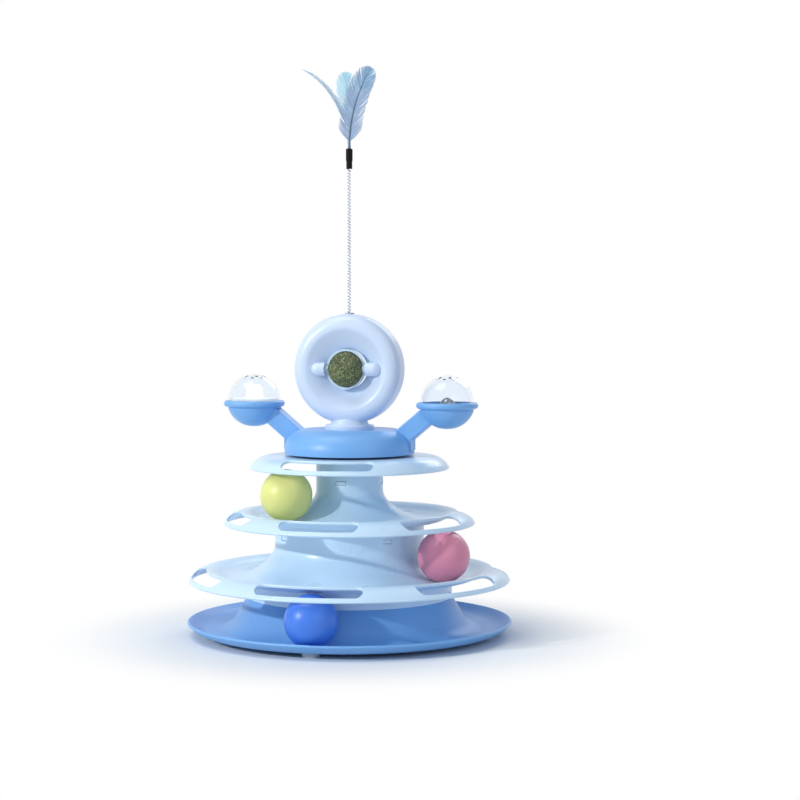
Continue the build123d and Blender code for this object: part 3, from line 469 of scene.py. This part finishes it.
def feather(name, node, slot_name, shaft_material, azimuth, facing, reach, height, width, foot_share,
            edge_on, seed, splits, curl, count, down):
    """A feather with a tapered shaft and a closed strip for every barb, parted at its splits."""
    draw = random.Random(seed)
    place = math.radians(feather_azimuth + azimuth)
    angle = math.radians(feather_azimuth + facing)
    root = Vector((math.sin(place) * quill_offset, -math.cos(place) * quill_offset, sleeve_top))
    across = Vector((math.cos(angle), math.sin(angle), 0))
    toward = Vector((math.sin(angle), -math.cos(angle), 0))
    up = Vector((0, 0, 1))

    def at(share):
        sideways, rise = shaft_point(reach, height, share)
        return root + across * sideways + up * rise

    def frame_at(share):
        along = (at(min(1, share + shaft_nudge)) - at(share - shaft_nudge)).normalized()
        flat = toward if edge_on else toward.cross(along).normalized()
        return along, flat, along.cross(flat).normalized()

    builder = bmesh.new()
    shaft_points = [root - up * quill_depth, root - up * (quill_depth / 2)]
    shaft_points += [at(step / shaft_steps * shaft_end) for step in range(shaft_steps + 1)]
    last = len(shaft_points) - 1
    radii = [quill_radius * (1 - shaft_taper * (index / last) ** shaft_taper_power)
             for index in range(last + 1)]
    tube(builder, shaft_points, radii, shaft_sides, 1)

    shaft_length = sum((at((step + 1) / shaft_steps) - at(step / shaft_steps)).length
                       for step in range(shaft_steps))
    spacing = shaft_length * (shaft_end - foot_share) / count
    for hand in (1, -1):
        parting = sorted(draw.uniform(foot_share + split_first, split_last) for _ in range(splits))
        for index in range(count):
            share = foot_share + (shaft_end - foot_share) * (index + 0.5) / count
            along, flat, out = frame_at(share)
            lean = math.radians(barb_lean + barb_lean_foot * (1 - share)
                                + draw.uniform(-barb_lean_jitter, barb_lean_jitter))
            for cut in parting:
                gap = share - cut
                if abs(gap) < split_window:
                    lean += math.radians(split_lean) * (-1 if gap > 0 else 1) * (1 - abs(gap) / split_window)
            end_lean = lean - math.radians(barb_bend)
            length = barb_length(share, foot_share, width, shaft_length, end_lean)
            length *= draw.uniform(barb_short, barb_long)
            points = []
            for step in range(barb_steps + 1):
                run = step / barb_steps
                bend = lean - math.radians(barb_bend) * run
                sideways = flat * (hand * math.sin(bend) * length * run)
                forward = along * (math.cos(bend) * length * run)
                cup = out * (curl * length * run * run + draw.uniform(-barb_lift, barb_lift) * run)
                points.append(at(share) + sideways + forward + cup)
            half = spacing * math.sin(lean) * barb_cover
            halves = [half * (1 - barb_taper * (step / barb_steps) ** 3) for step in range(barb_steps + 1)]
            strand(builder, points, halves, along, barb_thick, 0)
    for index in range(down):
        share = foot_share * draw.uniform(0.35, 1.25)
        along, flat, out = frame_at(max(0.02, share))
        turn = draw.uniform(0, 2 * math.pi)
        aside = flat * math.cos(turn) + out * math.sin(turn) * down_flatness
        length = draw.uniform(down_short, down_long)
        points = []
        for step in range(down_steps + 1):
            run = step / down_steps
            wave = math.sin(run * math.pi * 1.6 + turn) * down_wave * run
            points.append(at(share) + aside * (length * down_spread * run)
                          + along * (length * (run - down_droop * run * run)) + out * wave)
        halves = [down_half * (1 - down_taper * step / down_steps) for step in range(down_steps + 1)]
        strand(builder, points, halves, flat, down_thick, 0)
    made = piece(name, builder, [finishes[slot_name], shaft_material])
    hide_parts(node)
    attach(made, "wand")
    return made


feather("front_plume", "front_feather", "feather_grey", rachis_dark, azimuth=0, facing=0,
        reach=17 * mm, height=62 * mm, width=17.5 * mm, foot_share=0.08,
        edge_on=False, seed=3, splits=8, curl=0.05, count=96, down=10)
feather("rear_plume", "rear_feather", "feather_cyan", rachis_pale, azimuth=120, facing=0,
        reach=-4 * mm, height=58.5 * mm, width=17 * mm, foot_share=0.30,
        edge_on=False, seed=8, splits=6, curl=-0.05, count=76, down=8)
feather("left_plume", "left_feather", "feather_pale", rachis_pale, azimuth=240, facing=-22,
        reach=-39 * mm, height=62 * mm, width=13 * mm, foot_share=0.30,
        edge_on=True, seed=12, splits=5, curl=0.03, count=96, down=8)


# pressed catnip ball

catnip_radius = 13.5 * mm
core_inset = 0.75 * mm
core_lump = 0.25 * mm
core_crumb = 0.3 * mm
lump_scale = 2.2
crumb_scale = 17
flake_count = 2600
flake_widths = (0.16 * mm, 0.22 * mm, 0.30 * mm, 0.42 * mm)
flake_short = 0.8 * mm
flake_long = 2.0 * mm
flake_inset = 0.15 * mm
flake_sunk = -0.45 * mm
flake_raised = 0.12 * mm
flake_curl = 0.16 * mm
flake_thick = 0.09 * mm
flake_steps = 3
flake_outline = (0.5, 1, 0.9, 0.4)
catnip_low, catnip_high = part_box("catnip_ball")
catnip_centre = (catnip_low + catnip_high) / 2
herb_draw = random.Random(21)
herb_ball = bmesh.new()
bmesh.ops.create_icosphere(herb_ball, subdivisions=5, radius=1)
for vert in herb_ball.verts:
    lump = noise.fractal(vert.co * lump_scale, 0.9, 2.1, 4)
    crumb = noise.noise(vert.co * crumb_scale)
    level = catnip_radius - core_inset + core_lump * lump + core_crumb * crumb
    vert.co = catnip_centre + vert.co.normalized() * level
for index in range(flake_count):
    height = herb_draw.uniform(-1, 1)
    turn = herb_draw.uniform(0, 2 * math.pi)
    wide = math.sqrt(1 - height * height)
    normal = Vector((wide * math.cos(turn), wide * math.sin(turn), height))
    heading = normal.orthogonal().normalized()
    heading = Matrix.Rotation(herb_draw.uniform(0, 2 * math.pi), 3, normal) @ heading
    length = herb_draw.uniform(flake_short, flake_long)
    width = herb_draw.choice(flake_widths)
    surface = catnip_radius - flake_inset + herb_draw.uniform(flake_sunk, flake_raised)
    points = []
    for step in range(flake_steps + 1):
        spot = normal * surface + heading * (length * (step / flake_steps - 1 / 2))
        level = surface + herb_draw.uniform(-flake_curl, flake_curl)
        points.append(catnip_centre + spot.normalized() * level)
    halves = [width * share for share in flake_outline]
    strand(herb_ball, points, halves, normal.cross(heading), flake_thick, 0)
herb_piece = piece("pressed_catnip", herb_ball, [finishes["catnip"]])
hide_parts("catnip_ball")
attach(herb_piece, "catnip")


# floor, light and camera

floor_radius = 6
floor_segments = 96
shadow_core = 0.12
shadow_edge = 0.24
fill_strength = 0.38


def shown_directly(tree):
    """1 for rays that show the background itself: seen, mirrored or through something clear."""
    path = tree.nodes.new("ShaderNodeLightPath")
    seen = path.outputs["Is Camera Ray"]
    for kind in ("Is Glossy Ray", "Is Transmission Ray"):
        either = tree.nodes.new("ShaderNodeMath")
        either.operation = "MAXIMUM"
        tree.links.new(seen, either.inputs[0])
        tree.links.new(path.outputs[kind], either.inputs[1])
        seen = either.outputs["Value"]
    return seen


floor_builder = bmesh.new()
bmesh.ops.create_circle(floor_builder, cap_ends=True, segments=floor_segments, radius=floor_radius)
floor_mesh = bpy.data.meshes.new("floor")
floor_builder.to_mesh(floor_mesh)
floor_builder.free()
floor = bpy.data.objects.new("floor", floor_mesh)
scene.collection.objects.link(floor)
ground = Nodes("floor")
ground.join(ground.ramp(ground.noise(scale=9, detail=3),
                        [(noise_low, (0.86, 0.87, 0.885, 1)), (noise_high, (0.885, 0.895, 0.91, 1))]),
            ground.shader.inputs["Base Color"])
ground.set(Roughness=0.7, Specular_IOR_Level=0.15)
white = ground.add("ShaderNodeEmission")
white.inputs["Color"].default_value = (1, 1, 1, 1)
away = ground.add("ShaderNodeVectorMath", operation="LENGTH")
ground.join(ground.place, away.inputs[0])
fade = ground.add("ShaderNodeMapRange", interpolation_type="SMOOTHSTEP")
fade.inputs["From Min"].default_value = shadow_core
fade.inputs["From Max"].default_value = shadow_edge
ground.join(away.outputs["Value"], fade.inputs["Value"])
share_white = ground.add("ShaderNodeMath", operation="MULTIPLY")
ground.join(fade.outputs["Result"], share_white.inputs[0])
ground.join(shown_directly(ground.tree), share_white.inputs[1])
mixer = ground.add("ShaderNodeMixShader")
ground.join(share_white.outputs["Value"], mixer.inputs["Fac"])
ground.join(ground.shader.outputs["BSDF"], mixer.inputs[1])
ground.join(white.outputs["Emission"], mixer.inputs[2])
ground.join(mixer.outputs["Shader"], ground.tree.nodes["Material Output"].inputs["Surface"])
floor_mesh.materials.append(ground.material)

world = bpy.data.worlds.new("studio")
scene.world = world
world.use_nodes = True
world_tree = world.node_tree
background = world_tree.nodes["Background"]
background.inputs["Color"].default_value = (0.72, 0.84, 1.0, 1)
background.inputs["Strength"].default_value = fill_strength
backdrop = world_tree.nodes.new("ShaderNodeBackground")
backdrop.inputs["Color"].default_value = (1, 1, 1, 1)
backdrop.inputs["Strength"].default_value = 1.0
world_mix = world_tree.nodes.new("ShaderNodeMixShader")
world_tree.links.new(shown_directly(world_tree), world_mix.inputs["Fac"])
world_tree.links.new(background.outputs["Background"], world_mix.inputs[1])
world_tree.links.new(backdrop.outputs["Background"], world_mix.inputs[2])
world_tree.links.new(world_mix.outputs["Shader"], world_tree.nodes["World Output"].inputs["Surface"])


def lamp(name, place, target, size, watts, colour):
    data = bpy.data.lights.new(name, "AREA")
    data.shape = "DISK"
    data.size = size
    data.energy = watts
    data.color = colour
    made = bpy.data.objects.new(name, data)
    made.location = place
    made.rotation_euler = (Vector(target) - Vector(place)).to_track_quat("-Z", "Y").to_euler()
    scene.collection.objects.link(made)


lamp("key", place=(-1.26, -1.38, 0.87), target=(0, 0, 0.15),
     size=0.09, watts=18.5, colour=(0.99, 1.0, 0.97))
lamp("top", place=(-0.5, -0.4, 1.7), target=(0, 0, 0.15),
     size=1.1, watts=10, colour=(0.97, 0.985, 1.0))
lamp("fill", place=(1.5, -1.3, 0.9), target=(0, 0, 0.18),
     size=1.4, watts=6, colour=(0.78, 0.88, 1.0))
lamp("rim", place=(0.4, 1.6, 1.2), target=(0, 0, 0.22),
     size=1.0, watts=7, colour=(0.92, 0.96, 1.0))

focal_px = 1927
photo_px = 800
aside_px = 50.5
above_px = 88
sensor_mm = 36
camera_turn = math.radians(15.5)
camera_away = 1.483
camera_height = 0.2485
camera_yaw = math.atan2(aside_px, focal_px)
camera_pitch = math.atan2(above_px, focal_px)
camera_data = bpy.data.cameras.new("camera")
camera_data.sensor_width = sensor_mm
camera_data.lens = sensor_mm * focal_px / photo_px
camera_data.clip_end = 50
camera = bpy.data.objects.new("camera", camera_data)
camera.location = (camera_away * math.sin(camera_turn), -camera_away * math.cos(camera_turn), camera_height)
camera.rotation_euler = (math.pi / 2 - camera_pitch, 0, camera_turn - camera_yaw)
scene.collection.objects.link(camera)
scene.camera = camera

scene.view_settings.view_transform = "Standard"
